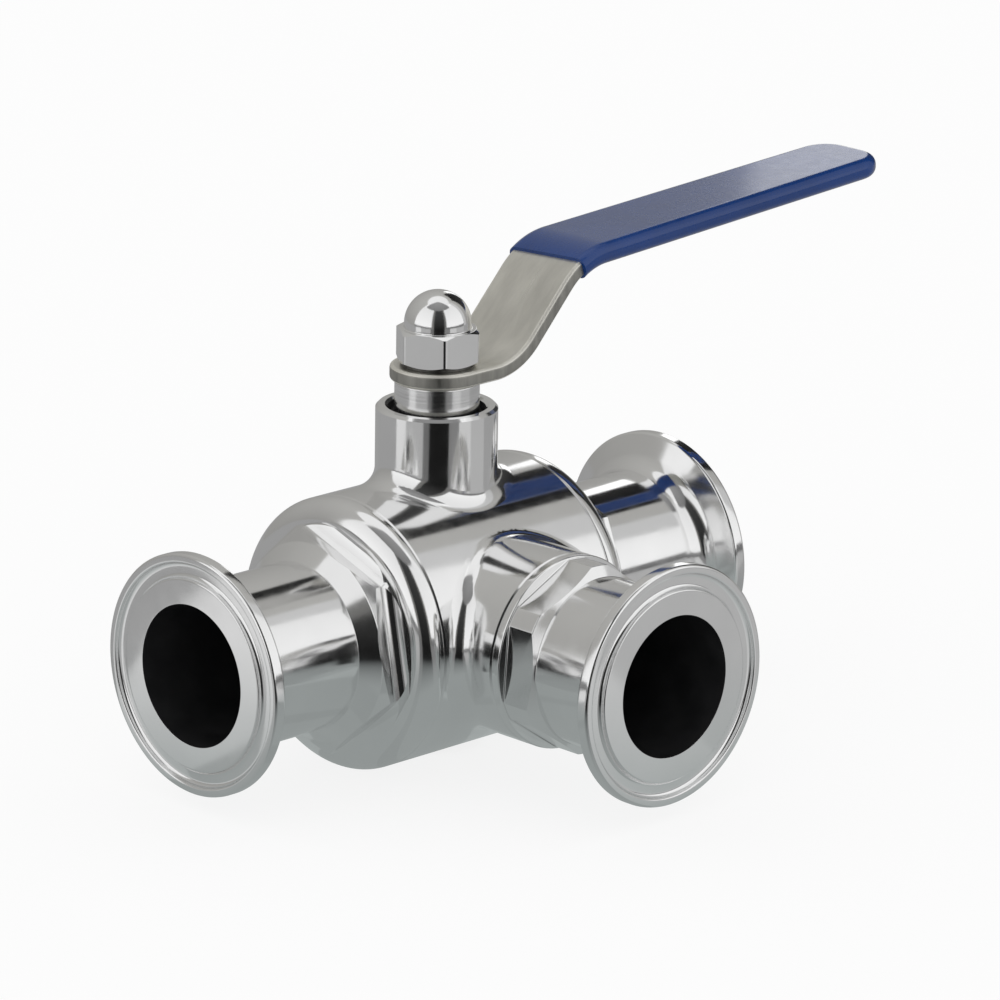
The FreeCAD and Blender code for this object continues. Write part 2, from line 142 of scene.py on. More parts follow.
def principled_material(name, values):
    """Material with one principled shader, and that shader."""
    material = new_material(name)
    principled = add_node(material, "ShaderNodeBsdfPrincipled", values)
    show(material, principled, "BSDF")
    return material, principled


def object_place(material, stretch=(1, 1, 1)):
    """Object coordinates, stretched along the axes for grain and turning marks."""
    place = add_node(material, "ShaderNodeTexCoord")
    return add_node(material, "ShaderNodeMapping", {"Scale": stretch}, {"Vector": (place, "Object")})


def noise(material, place, scale, detail=4.0, roughness=0.55):
    """Fine-grained pattern for colour, roughness or bumps."""
    values = {"Scale": scale, "Detail": detail, "Roughness": roughness}
    return add_node(material, "ShaderNodeTexNoise", values, {"Vector": (place, "Vector")})


def ramp(material, source, stops, socket="Fac"):
    """Colour ramp over a texture, from (position, grey or colour) stops."""
    node = add_node(material, "ShaderNodeValToRGB", links={"Fac": (source, socket)})
    elements = node.color_ramp.elements
    while len(elements) < len(stops):
        elements.new(0.5)
    for element, (position, value) in zip(elements, stops):
        element.position = position
        element.color = (*value, 1) if isinstance(value, tuple) else (value, value, value, 1)
    return node


def vary(material, texture, low, high, principled, socket="Base Color", start=0.3, end=0.7):
    """Let a texture run a shader's colour, or another socket, from one value to another."""
    blend = ramp(material, texture, [(start, low), (end, high)])
    link(material, blend, "Color", principled, socket)


def emboss(material, texture, depth, principled):
    """Let a texture lift the surface by a depth in metres."""
    values = {"Strength": 1.0, "Distance": depth}
    node = add_node(material, "ShaderNodeBump", values, {"Height": (texture, "Fac")})
    link(material, node, "Normal", principled, "Normal")


def tone(base, share=1.0):
    """A colour made darker or brighter by a share."""
    return tuple(share * part for part in base)


# Finishes

METAL = {"Metallic": 1.0}
# Painted shade: the bores, the ball and the inside of the neck get near-black, dull colours that stand in for
# their dark insides.
BORE_SHINE = 0.2
BORE_GRAIN = 160.0
BORE_SHADE_DARK = (0.010, 0.010, 0.011)
BORE_SHADE_PALE = (0.017, 0.017, 0.018)
NECK_SHADE_PALE = (0.020, 0.020, 0.021)


class ValveLook(bpy.types.PropertyGroup):
    """Colours and polish of the finishes."""
    polish: bpy.props.FloatProperty(
        name="Polish", description="Roughness of the polished steel where it is brightest",
        default=0.09, min=0, max=1)
    # The dull bore inside the neck is painted shade: near-black colour that stands in for the dark inside.
    shaded_neck_bore: size("Neck bore", "Width of the dull bore inside the neck", 20.5)
    steel_colour: colour("Steel", "Colour of the polished steel", (0.90, 0.90, 0.90))
    strip_colour: colour("Lever strip", "Colour of the lever's rolled strip", (0.84, 0.825, 0.765))
    sleeve_colour: colour("Sleeve", "Colour of the dipped sleeve", (0.002, 0.036, 0.18))


def polished_steel(look):
    """Mirror-polished stainless steel with a faint haze and a slow waviness from the polishing wheel."""
    material, principled = principled_material("polished_steel", METAL)
    place = object_place(material)
    haze = noise(material, place, scale=260.0)
    vary(material, haze, look.polish, 1.6 * look.polish, principled, "Roughness", end=0.75)
    cloud = noise(material, place, scale=45.0)
    vary(material, cloud, tone(look.steel_colour, 0.95), tone(look.steel_colour), principled,
         start=0.35, end=0.65)
    wave = noise(material, place, scale=70.0, detail=1.0)
    emboss(material, wave, 0.03 * MM, principled)
    return material


def shaded_bore_steel():
    """Unpolished steel of the bores and the ball, painted dull and near-black as the shade where little light
    reaches.
    """
    material, principled = principled_material("shaded_bore_steel", {"Specular IOR Level": BORE_SHINE})
    marks = noise(material, object_place(material), scale=BORE_GRAIN)
    vary(material, marks, BORE_SHADE_DARK, BORE_SHADE_PALE, principled)
    vary(material, marks, 0.55, 0.70, principled, "Roughness")
    return material


def body_steel_neck_shade(look):
    """Polished steel that turns into dull, near-black painted shade inside the neck."""
    material = polished_steel(look)
    material.name = "body_steel_neck_shade"
    polished = next(node for node in material.node_tree.nodes if node.type == "BSDF_PRINCIPLED")
    output = next(node for node in material.node_tree.nodes if node.type == "OUTPUT_MATERIAL")
    place = object_place(material)
    shift = add_node(material, "ShaderNodeVectorMath", {1: BALL_CENTRE}, {0: (place, "Vector")},
                     operation="SUBTRACT")
    flat = add_node(material, "ShaderNodeVectorMath", {1: (1, 1, 0)}, {0: (shift, "Vector")},
                    operation="MULTIPLY")
    radius = add_node(material, "ShaderNodeVectorMath", links={0: (flat, "Vector")}, operation="LENGTH")
    inside = add_node(material, "ShaderNodeMath", {1: look.shaded_neck_bore / 2 * MM}, {0: (radius, "Value")},
                      operation="LESS_THAN")
    # Painted shade: dull, near-black steel inside the neck.
    dull = add_node(material, "ShaderNodeBsdfPrincipled",
                    {"Roughness": 0.6, "Specular IOR Level": BORE_SHINE})
    marks = noise(material, object_place(material), scale=BORE_GRAIN)
    vary(material, marks, BORE_SHADE_DARK, NECK_SHADE_PALE, dull)
    mix = add_node(material, "ShaderNodeMixShader",
                   links={0: (inside, 0), 1: (polished, "BSDF"), 2: (dull, "BSDF")})
    link(material, mix, "Shader", output, "Surface")
    return material


def turned_steel(look):
    """Fine-turned stainless steel with faint rings from the lathe tool."""
    material, principled = principled_material("turned_steel", METAL)
    rings = noise(material, object_place(material, stretch=(30, 30, 3000)), scale=1.0, detail=1.0)
    vary(material, rings, 0.15, 0.23, principled, "Roughness")
    vary(material, rings, tone(look.steel_colour, 0.86), tone(look.steel_colour), principled)
    return material


def spring_steel_gap_shade():
    """Hardened spring steel painted dark: painted shade for the gap under the nut."""
    material, principled = principled_material("spring_steel_gap_shade", METAL)
    stain = noise(material, object_place(material), scale=500.0)
    vary(material, stain, (0.09, 0.09, 0.088), (0.17, 0.168, 0.16), principled)
    vary(material, stain, 0.30, 0.45, principled, "Roughness")
    return material


def strip_steel(look):
    """Rolled stainless strip: satin streaks along the lever and faint stains from handling."""
    material, principled = principled_material("strip_steel", METAL)
    grain = noise(material, object_place(material, stretch=(40, 1500, 40)), scale=1.0, detail=5.0)
    stain = noise(material, object_place(material, stretch=(60, 170, 60)), scale=1.0, roughness=0.6)
    vary(material, grain, 0.26, 0.40, principled, "Roughness", start=0.25, end=0.75)
    vary(material, stain, tone(look.strip_colour, 0.80), tone(look.strip_colour), principled, end=0.62)
    emboss(material, grain, 0.03 * MM, principled)
    return material


def sheared_steel_side_shade(look):
    """Edge of the strip as the shear left it: coarser than its faces, and darker as painted shade on the
    upright sides.
    """
    material, principled = principled_material("sheared_steel_side_shade", METAL)
    scores = noise(material, object_place(material, stretch=(700, 700, 120)), scale=1.0)
    vary(material, scores, tone(look.strip_colour, 0.38), tone(look.strip_colour, 0.54), principled)
    vary(material, scores, 0.38, 0.52, principled, "Roughness")
    emboss(material, scores, 0.04 * MM, principled)
    return material


def rubbed_steel(look):
    """Rounded edges of the strip, rubbed dull by hands."""
    material, principled = principled_material("rubbed_steel", METAL)
    scuffs = noise(material, object_place(material), scale=260.0)
    vary(material, scuffs, tone(look.strip_colour), tone(look.strip_colour, 1.1), principled)
    vary(material, scuffs, 0.50, 0.60, principled, "Roughness")
    emboss(material, scuffs, 0.02 * MM, principled)
    return material


def dipped_vinyl(look):
    """Glossy vinyl coat with the shallow skin that dipping leaves."""
    gloss = {"Coat Weight": 1.0, "Coat Roughness": 0.12, "Coat IOR": 1.33, "IOR": 1.33}
    material, principled = principled_material("dipped_vinyl", gloss)
    place = object_place(material)
    skin = noise(material, place, scale=420.0, detail=3.0)
    patch = noise(material, place, scale=60.0)
    vary(material, patch, tone(look.sleeve_colour, 0.82), tone(look.sleeve_colour), principled,
         start=0.35, end=0.65)
    vary(material, skin, 0.24, 0.33, principled, "Roughness")
    emboss(material, skin, 0.03 * MM, principled)
    return material


def white_ptfe(_look):
    """Fluoropolymer rings and seats: waxy white with faint turning marks."""
    wax = {"Subsurface Weight": 0.1, "Subsurface Scale": 0.001}
    material, principled = principled_material("white_ptfe", wax)
    marks = noise(material, object_place(material), scale=300.0)
    vary(material, marks, (0.80, 0.80, 0.77), (0.88, 0.88, 0.86), principled)
    vary(material, marks, 0.38, 0.52, principled, "Roughness")
    return material


# Every material slot's finish. Each takes the look, which the white rings don't need.
FINISHES = {
    "polished_steel": polished_steel,
    "machined_steel": turned_steel,
    "strip_steel": strip_steel,
    "ptfe": white_ptfe,
    "dipped_vinyl": dipped_vinyl,
}


def give_material(piece, *materials):
    """Replace a piece's materials one by one, which keeps the numbers of its faces."""
    while piece.data.materials:
        piece.data.materials.pop()
    for material in materials:
        piece.data.materials.append(material)


class VALVE_OT_finishes(bpy.types.Operator):
    """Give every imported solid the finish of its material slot"""
    bl_idname = "valve.finishes"
    bl_label = "Finish the solids"

    def execute(self, context):
        look = context.scene.valve_look
        made = {slot: make(look) for slot, make in FINISHES.items()}
        for subpart in frame["record"]["subparts"]:
            give_material(NODES[subpart["node"]], made[subpart["material_slot"]])
        give_material(NODES["valve_body"], body_steel_neck_shade(look))
        # The ball is painted near-black as the shade inside the valve.
        give_material(NODES["ball"], shaded_bore_steel())
        return {"FINISHED"}


# Shared modelling

SPIN_STEPS = 160
ROUND_STEPS = 4
ROUND_STEPS_PER_MM = 4
SHARP_ANGLE = 34
# Points closer than this, in metres, are one point.
MERGE = 1e-7
# From the middle of a hexagon to its corners, where its flats are at 1.
HEX_CORNER = 1 / math.cos(math.radians(30))


def link_object(name, data):
    made = bpy.data.objects.new(name, data)
    bpy.context.scene.collection.objects.link(made)
    return made


def to_data(name, mesh):
    """Mesh data from a bmesh, which is freed."""
    data = bpy.data.meshes.new(name)
    mesh.to_mesh(data)
    mesh.free()
    return data


def port_place(way):
    """Placement of a piece built along +Z from the ball's centre so that it points along a port."""
    along = Vector(way)
    across = Vector((0, 0, 1)).cross(along)
    turn = Matrix((across, Vector((0, 0, 1)), along)).transposed()
    return Matrix.Translation(BALL_CENTRE) @ turn.to_4x4()


def face_outward(mesh):
    bmesh.ops.recalc_face_normals(mesh, faces=mesh.faces)


def rounded(mesh, items, radius, steps, affect):
    """Round points or edges by a radius in metres."""
    bmesh.ops.bevel(mesh, geom=items, offset=radius, offset_type="OFFSET", segments=steps, profile=0.5,
                    affect=affect, material=-1)


def rounded_wire(corners, closed=True):
    """Wire in the half plane beside the Z axis from (radius, height, rounding) corners in millimetres."""
    mesh = bmesh.new()
    points = [mesh.verts.new((r * MM, 0, z * MM)) for r, z, _ in corners]
    ends = points[1:] + points[:1] if closed else points[1:]
    for pair in zip(points, ends):
        mesh.edges.new(pair)
    for point, (_, _, rounding) in zip(points, corners):
        if rounding:
            steps = max(ROUND_STEPS, int(ROUND_STEPS_PER_MM * rounding))
            rounded(mesh, [point], rounding * MM, steps, "VERTICES")
    return mesh


def spun(corners, closed=True):
    """Turned solid about Z from the corners of its outline."""
    mesh = rounded_wire(corners, closed)
    bmesh.ops.spin(mesh, geom=mesh.verts[:] + mesh.edges[:], cent=(0, 0, 0), axis=(0, 0, 1),
                   angle=math.tau, steps=SPIN_STEPS, use_merge=True)
    bmesh.ops.remove_doubles(mesh, verts=mesh.verts, dist=MERGE)
    face_outward(mesh)
    return mesh


def carved(mesh, cutter):
    """What is left of a mesh when a cutter's volume is taken away."""
    stock = link_object("stock", to_data("stock", mesh))
    tool = link_object("tool", to_data("tool", cutter))
    cut = stock.modifiers.new("cut", "BOOLEAN")
    cut.operation = "DIFFERENCE"
    cut.solver = "MANIFOLD"
    cut.object = tool
    shape = stock.evaluated_get(bpy.context.evaluated_depsgraph_get())
    left = bmesh.new()
    left.from_mesh(shape.to_mesh())
    shape.to_mesh_clear()
    for spent in (stock, tool):
        data = spent.data
        bpy.data.objects.remove(spent)
        bpy.data.meshes.remove(data)
    return left


def everything(mesh):
    return mesh.verts[:] + mesh.edges[:] + mesh.faces[:]


def edges_of(items):
    return [item for item in items if isinstance(item, bmesh.types.BMEdge)]


def points_of(items):
    return [item for item in items if isinstance(item, bmesh.types.BMVert)]


def raise_faces(mesh, faces, height):
    """Thicken faces upwards by a height in millimetres."""
    raised = bmesh.ops.extrude_face_region(mesh, geom=faces)["geom"]
    bmesh.ops.translate(mesh, vec=(0, 0, height * MM), verts=points_of(raised))


def plane_off(mesh, point, outward):
    """Cut away what stands past a plane and close the cut."""
    cut = bmesh.ops.bisect_plane(mesh, geom=everything(mesh), dist=MERGE, plane_co=point, plane_no=outward,
                                 clear_outer=True)
    bmesh.ops.edgeloop_fill(mesh, edges=edges_of(cut["geom_cut"]))


def finish_piece(name, mesh, place, materials, stands_for):
    """Place a mesh, smooth it up to its sharp edges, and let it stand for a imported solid."""
    bmesh.ops.transform(mesh, matrix=place, verts=mesh.verts)
    data = to_data(name, mesh)
    data.shade_smooth()
    data.set_sharp_from_angle(angle=math.radians(SHARP_ANGLE))
    piece = link_object(name, data)
    flats = piece.modifiers.new("even_flats", "WEIGHTED_NORMAL")
    flats.keep_sharp = True
    give_material(piece, *materials)
    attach(piece, LEVER_SET if stands_for in TURNING else CASING)
    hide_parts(stands_for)


# End caps, with their small roundings and cuts in millimetres

FERRULE_FILLET = 3.5
RIM_BACK_ROUND = 0.5
RIM_FRONT_ROUND = 0.7
GROOVE_LIP_ROUND = 0.45
GROOVE_FLOOR_ROUND = 1.0
BORE_MOUTH_ROUND = 0.15
SEAM_ROUND = 0.4
HEX_EDGE_ROUND = 0.15
ROOT_ROUND = 0.1
SPIGOT_ROUND = 0.3
SEAT_POCKET_DEPTH = 4.0
# Faces no more than this outside the bore get its near-black painted shade.
BORE_SKIN = 0.1
# How far the flats' cutter reaches below the hexagon and past the cone, and its size in hexagons.
CUTTER_SINK = 0.02
CUTTER_OVERRUN = 0.5
CUTTER_SPREAD = 2.2
FLARE_STEPS = 8


CAP_SIZES = {
    # property: kind, name, description, default of the run caps, default of the branch cap
    "reach": (size, "Reach", "From the ball's centre to the clamp face", 68.0, 70.0),
    "bore_diameter": (size, "Bore", "Diameter of the bore", 29.6, 29.6),
    "tube_diameter": (size, "Tube", "Outer diameter of the tube", 35.4, 35.4),
    "ferrule_diameter": (size, "Ferrule", "Diameter of the clamp ferrule", 50.5, 50.5),
    "ferrule_rim": (size, "Rim", "Thickness of the ferrule at its rim", 2.85, 2.85),
    "ferrule_back_angle": (angle, "Back cone", "Slope of the ferrule's back", 20.0, 20.0),
    "groove_diameter": (size, "Groove", "Pitch diameter of the gasket groove", 43.5, 43.5),
    "groove_width": (size, "Groove width", "Width of the gasket groove", 3.2, 3.2),
    "groove_depth": (size, "Groove depth", "Depth of the gasket groove", 1.3, 1.3),
    "seat_back": (size, "Seat back", "From the ball's centre to the seat's back", 23.503, 23.503),
    "seam": (size, "Seam", "From the ball's centre to the seam with the body", 24.503, 37.804),
    "spigot_diameter": (size, "Spigot", "Diameter of the spigot", 48.208, 36.2),
    "flange": (size, "Flange", "Thickness of the round flange", 5.6, 2.2),
    "flange_diameter": (size, "Flange diameter", "Diameter of the round flange", 57.608, 40.8),
    "flange_rounding": (size, "Flange rounding", "Radius of the flange's shoulder", 4.8, 0.4),
    "hex_flats": (size, "Flats", "Hexagon across its flats", 41.4, 36.5),
    "hex_corner_diameter": (size, "Corners", "Hexagon across its turned-down corners", 48.0, 39.9),
    "hex_length": (size, "Hexagon length", "Length of the hexagon", 4.7, 7.4),
    "hex_chamfer": (size, "Hexagon chamfer", "Chamfer of the hexagon, along the axis", 0.9, 0.8),
    "hex_chamfer_angle": (angle, "Chamfer slope", "Slope of the hexagon's chamfer", 17.0, 30.0),
    "cutter_rounding": (size, "Cutter corner", "Corner radius of the flats' cutter", 3.0, 0.4),
    "root_cone": (size, "Root cone", "Height of the cone from the hexagon to the tube", 3.3, 0.5),
}


def cap_properties(column):
    """Properties of an end cap, with the defaults of the run caps (0) or the branch cap (1)."""
    return {key: kind(name, description, defaults[column])
            for key, (kind, name, description, *defaults) in CAP_SIZES.items()}


class RunCapSizes(bpy.types.PropertyGroup):
    """Sizes of the two run end caps."""
    __annotations__ = cap_properties(0)
    seat_pocket_diameter: size("Seat pocket", "Diameter of the seat's pocket", 36.4)
    left_turn: angle("Left turn", "Turn of the left cap's hexagon", 41.0)
    right_turn: angle("Right turn", "Turn of the right cap's hexagon", 15.0)


class BranchCapSizes(bpy.types.PropertyGroup):
    """Sizes of the branch end cap."""
    __annotations__ = cap_properties(1)
    turn: angle("Turn", "Turn of the cap's hexagon", 26.0)


def run_spigot(cap):
    """Outline of the spigot that holds the seat, in millimetres."""
    pocket_r = cap.seat_pocket_diameter / 2
    spigot_r = cap.spigot_diameter / 2
    spigot_end = cap.seat_back - SEAT_POCKET_DEPTH
    return [
        (cap.bore_diameter / 2, cap.seat_back, 0),
        (pocket_r, cap.seat_back, 0),
        (pocket_r, spigot_end, 0),
        (spigot_r, spigot_end, SPIGOT_ROUND),
        (spigot_r, cap.seam, 0),
    ]


def branch_spigot(cap):
    """Outline of the spigot that presses on the branch seat, in millimetres."""
    return [
        (cap.bore_diameter / 2, cap.seat_back, 0),
        (cap.spigot_diameter / 2, cap.seat_back, SPIGOT_ROUND),
        (cap.spigot_diameter / 2, cap.seam, 0),
    ]


def ferrule_corners(cap):
    """Outline of the clamp ferrule in millimetres, from the tube to the bore."""
    rim_r = cap.ferrule_diameter / 2
    tube_r = cap.tube_diameter / 2
    rim_back = cap.reach - cap.ferrule_rim
    slope = math.tan(math.radians(cap.ferrule_back_angle))
    groove_in = (cap.groove_diameter - cap.groove_width) / 2
    groove_out = (cap.groove_diameter + cap.groove_width) / 2
    groove_floor = cap.reach - cap.groove_depth
    return [
        (tube_r, rim_back - (rim_r - tube_r) * slope, FERRULE_FILLET),
        (rim_r, rim_back, RIM_BACK_ROUND),
        (rim_r, cap.reach, RIM_FRONT_ROUND),
        (groove_out, cap.reach, GROOVE_LIP_ROUND),
        (groove_out, groove_floor, GROOVE_FLOOR_ROUND),
        (groove_in, groove_floor, GROOVE_FLOOR_ROUND),
        (groove_in, cap.reach, GROOVE_LIP_ROUND),
        (cap.bore_diameter / 2, cap.reach, BORE_MOUTH_ROUND),
    ]


def flats_cutter(flats, turn, cutter_round, bottom, top):
    """Ring with a hexagonal hole, flared at its foot as the round-cornered cutter leaves it."""
    flat_r = flats / 2
    width = flat_r + cutter_round
    sections = []
    for step in range(1, FLARE_STEPS + 1):
        swing = math.radians(90 * step / FLARE_STEPS)
        sections.append((flat_r + cutter_round * (1 - math.sin(swing)),
                         bottom + cutter_round * (1 - math.cos(swing))))
    sections += [(flat_r, top), (CUTTER_SPREAD * flat_r, top), (CUTTER_SPREAD * flat_r, bottom)]
    mesh = bmesh.new()
    ring = bmesh.ops.create_circle(mesh, segments=6, radius=width * HEX_CORNER * MM)["verts"]
    spin = Matrix.Rotation(math.radians(turn) - math.atan2(ring[0].co.y, ring[0].co.x), 4, "Z")
    bmesh.ops.transform(mesh, matrix=Matrix.Translation((0, 0, bottom * MM)) @ spin, verts=ring)
    edges = mesh.edges[:]
    for half_width, height in sections:
        made = bmesh.ops.extrude_edge_only(mesh, edges=edges)["geom"]
        ring = points_of(made)
        edges = edges_of(made)
        grow = half_width / width
        bmesh.ops.scale(mesh, vec=(grow, grow, 1), verts=ring)
        bmesh.ops.translate(mesh, vec=(0, 0, height * MM - ring[0].co.z), verts=ring)
        width = half_width
    bmesh.ops.bridge_loops(mesh, edges=[edge for edge in mesh.edges if edge.is_boundary])
    face_outward(mesh)
    return mesh


def end_cap_mesh(cap, spigot, turn):
    """End cap along +Z: spigot, flange, wrench hexagon, conical root, tube and clamp ferrule."""
    flange_r = cap.flange_diameter / 2
    corner_r = cap.hex_corner_diameter / 2
    shoulder = cap.seam + cap.flange
    front = shoulder + cap.hex_length
    root_top = front + cap.root_cone
    chamfer = cap.hex_chamfer / math.tan(math.radians(cap.hex_chamfer_angle))
    stock = spun(spigot + [
        (flange_r, cap.seam, SEAM_ROUND),
        (flange_r, shoulder, cap.flange_rounding),
        (corner_r, shoulder, 0),
        (corner_r, front - cap.hex_chamfer, HEX_EDGE_ROUND),
        (corner_r - chamfer, front, HEX_EDGE_ROUND),
        (cap.tube_diameter / 2, root_top, ROOT_ROUND),
    ] + ferrule_corners(cap))
    cutter = flats_cutter(cap.hex_flats, turn, cap.cutter_rounding, shoulder - CUTTER_SINK,
                          root_top + CUTTER_OVERRUN)
    left = carved(stock, cutter)
    # The bore's faces get the second material, which is painted shade.
    for face in left.faces:
        if face.calc_center_median().xy.length < (cap.bore_diameter / 2 + BORE_SKIN) * MM:
            face.material_index = 1
    return left


def cap_finish(look):
    """Polished outside and bore painted dull and near-black as shade, in the order of the cap's material
    numbers.
    """
    return [polished_steel(look), shaded_bore_steel()]


class VALVE_OT_run_caps(bpy.types.Operator):
    """Turn and mill the two run end caps"""
    bl_idname = "valve.run_caps"
    bl_label = "Run end caps"

    def execute(self, context):
        cap = context.scene.valve_run_cap
        steel = cap_finish(context.scene.valve_look)
        for side, way, turn in (("left", (-1, 0, 0), cap.left_turn), ("right", (1, 0, 0), cap.right_turn)):
            mesh = end_cap_mesh(cap, run_spigot(cap), turn)
            finish_piece(side + "_cap", mesh, port_place(way), steel, side + "_end_cap")
        return {"FINISHED"}


class VALVE_OT_branch_cap(bpy.types.Operator):
    """Turn and mill the branch end cap"""
    bl_idname = "valve.branch_cap"
    bl_label = "Branch end cap"

    def execute(self, context):
        cap = context.scene.valve_branch_cap
        steel = cap_finish(context.scene.valve_look)
        mesh = end_cap_mesh(cap, branch_spigot(cap), cap.turn)
        finish_piece("branch_cap", mesh, port_place((0, -1, 0)), steel, "branch_end_cap")
        return {"FINISHED"}


# Cap nut, washer and gland follower, with their small roundings in millimetres

NUT_HOLE_ROUND = 0.2
NUT_RIM_ROUND = 0.1
DOME_FOOT_ROUND = 0.25
NUT_CHAMFER_SLOPE = 30
NUT_CORNER_CUTS = 6
FOLLOWER_EDGE_ROUND = 0.2
FOLLOWER_FLANGE_ROUND = 0.3
FOLLOWER_FOOT_ROUND = 0.5
FOLLOWER_TOP_ROUND = 0.45
WASHER_ROUND = 0.12
WASHER_STEPS = 96


class StemGroupSizes(bpy.types.PropertyGroup):
    """Sizes of the nut, the washer and the gland follower."""
    washer_bottom: size("Washer underside", "From the ball's centre to the lever's top", 53.004)
    washer_thickness: size("Washer", "Thickness of the lock washer", 0.7)
    washer_diameter: size("Washer diameter", "Outer diameter of the lock washer", 15.4)
    washer_bore: size("Washer bore", "Bore of the lock washer", 10.4)
    washer_slit: size("Washer slit", "Width of the lock washer's slit", 1.2)
    washer_slit_turn: angle("Slit turn", "Where the lock washer's slit is", 120.0)
    nut_flats: size("Nut flats", "Cap nut across its flats", 16.0)
    nut_height: size("Nut hexagon", "Height of the cap nut's hexagon", 7.1)
    nut_chamfer: size("Nut chamfer", "How far the nut's corner chamfer reaches down", 0.75)
    nut_corner: size("Nut corner", "Radius of the nut's upright corners", 1.15)
    dome_diameter: size("Dome", "Diameter of the nut's dome", 14.0)
    dome_neck: size("Dome neck", "Straight part under the dome", 0.9)
    thread_diameter: size("Thread", "Diameter of the nut's thread hole", 10.1)
    thread_depth: size("Thread depth", "Depth of the nut's thread hole", 11.0)
    nut_turn: angle("Nut turn", "Turn of the nut's hexagon", 56.0)
    follower_bottom: size("Follower underside", "From the ball's centre to the packing's top", 40.054)
    follower_flange: size("Follower flange", "Height of the follower's flange", 2.5)
    follower_flange_diameter: size("Flange diameter", "Diameter of the follower's flange", 20.3)
    follower_diameter: size("Collar", "Diameter of the follower's collar", 17.7)
    follower_bore: size("Follower bore", "Bore of the follower", 12.1)
    follower_top: size("Follower top", "From the ball's centre to the follower's top", 49.704)


def cap_nut_mesh(group):
    """Domed nut: turned blank with six flats and the rounded corners between them planed off."""
    bottom = group.washer_bottom + group.washer_thickness
    top = bottom + group.nut_height
    flat_r = group.nut_flats / 2
    rise = group.nut_chamfer
    wide_r = flat_r + rise / math.tan(math.radians(NUT_CHAMFER_SLOPE))
    dome_r = group.dome_diameter / 2
    hole_r = group.thread_diameter / 2
    hole_top = bottom + group.thread_depth
    crown = top + group.dome_neck + dome_r
    mesh = spun([
        (0, hole_top + hole_r / 2, 0),
        (hole_r, hole_top, 0),
        (hole_r, bottom, NUT_HOLE_ROUND),
        (flat_r, bottom, NUT_RIM_ROUND),
        (wide_r, bottom + rise, 0),
        (wide_r, top - rise, 0),
        (flat_r, top, NUT_RIM_ROUND),
        (dome_r, top, DOME_FOOT_ROUND),
        (dome_r, crown, dome_r),
        (0, crown, 0),
    ], closed=False)
    corner_r = group.nut_corner
    corner_centre = (flat_r - corner_r) * HEX_CORNER
    for cut in range(6 * NUT_CORNER_CUTS):
        side, share = divmod(cut, NUT_CORNER_CUTS)
        lean = 60 * share / NUT_CORNER_CUTS - 30
        way = math.radians(group.nut_turn + 60 * side + lean)
        outward = Vector((math.cos(way), math.sin(way), 0))
        depth = corner_centre * math.cos(math.radians(lean)) + corner_r
        plane_off(mesh, outward * depth * MM, outward)
    face_outward(mesh)
    return mesh


def follower_mesh(group):
    """Gland follower: flange on the packing and collar under the lever."""
    bore_r = group.follower_bore / 2
    flange_r = group.follower_flange_diameter / 2
    collar_r = group.follower_diameter / 2
    flange_top = group.follower_bottom + group.follower_flange
    return spun([
        (bore_r, group.follower_bottom, FOLLOWER_EDGE_ROUND),
        (flange_r, group.follower_bottom, FOLLOWER_EDGE_ROUND),
        (flange_r, flange_top, FOLLOWER_FLANGE_ROUND),
        (collar_r, flange_top, FOLLOWER_FOOT_ROUND),
        (collar_r, group.follower_top, FOLLOWER_TOP_ROUND),
        (bore_r, group.follower_top, FOLLOWER_EDGE_ROUND),
    ])


def lock_washer_mesh(group):
    """Split washer: a rounded section swept almost all the way round."""
    inner = group.washer_bore / 2
    outer = group.washer_diameter / 2
    bottom = group.washer_bottom
    top = bottom + group.washer_thickness
    section = [(inner, bottom), (outer, bottom), (outer, top), (inner, top)]
    mesh = rounded_wire([(r, z, WASHER_ROUND) for r, z in section])
    slit = 2 * math.asin(group.washer_slit / (inner + outer))
    start = Matrix.Rotation(math.radians(group.washer_slit_turn) + slit / 2, 3, "Z")
    bmesh.ops.rotate(mesh, cent=(0, 0, 0), matrix=start, verts=mesh.verts)
    bmesh.ops.contextual_create(mesh, geom=mesh.edges[:])
    bmesh.ops.spin(mesh, geom=everything(mesh), cent=(0, 0, 0), axis=(0, 0, 1), angle=math.tau - slit,
                   steps=WASHER_STEPS, use_duplicate=False)
    bmesh.ops.remove_doubles(mesh, verts=mesh.verts, dist=MERGE)
    face_outward(mesh)
    return mesh


class VALVE_OT_stem_group(bpy.types.Operator):
    """Make the cap nut, the lock washer and the gland follower"""
    bl_idname = "valve.stem_group"
    bl_label = "Nut, washer and follower"

    def execute(self, context):
        group = context.scene.valve_stem_group
        look = context.scene.valve_look
        place = Matrix.Translation(BALL_CENTRE)
        finish_piece("domed_nut", cap_nut_mesh(group), place, [polished_steel(look)], "cap_nut")
        finish_piece("follower_collar", follower_mesh(group), place, [turned_steel(look)], "gland_follower")
        # The washer is painted dark as the shade in the gap under the nut.
        finish_piece("split_washer", lock_washer_mesh(group), place, [spring_steel_gap_shade()], "lock_washer")
        return {"FINISHED"}


# Lever and sleeve

STRIP_ROUND_STEPS = 4
SLEEVE_ROUND_STEPS = 8
CORNER_STEPS = 16
HOLE_STEPS = 96
# A corner's rounding stays just short of its side, so that neighbours don't meet in one point.
CORNER_SHARE = 0.9999
# Points of the flat board that differ by less than this, in metres, are level.
LEVEL = 1e-6
# The board is cut into short lengths over this stretch, in millimetres, so that it can bend.
BEND_FROM = 6
BEND_TO = 54
BEND_STEP = 0.5
# The sleeve's board starts this far before its open end, where it is cut off askew.
SLEEVE_TRIM = 12
# How much of a face's normal points up or down: on the strip's sheared sides, on its rolled faces, and on
# the board's upright sides before its rims are rounded.
SIDE_BELOW = 0.35
FACE_ABOVE = 0.99
UPRIGHT_BELOW = 0.5


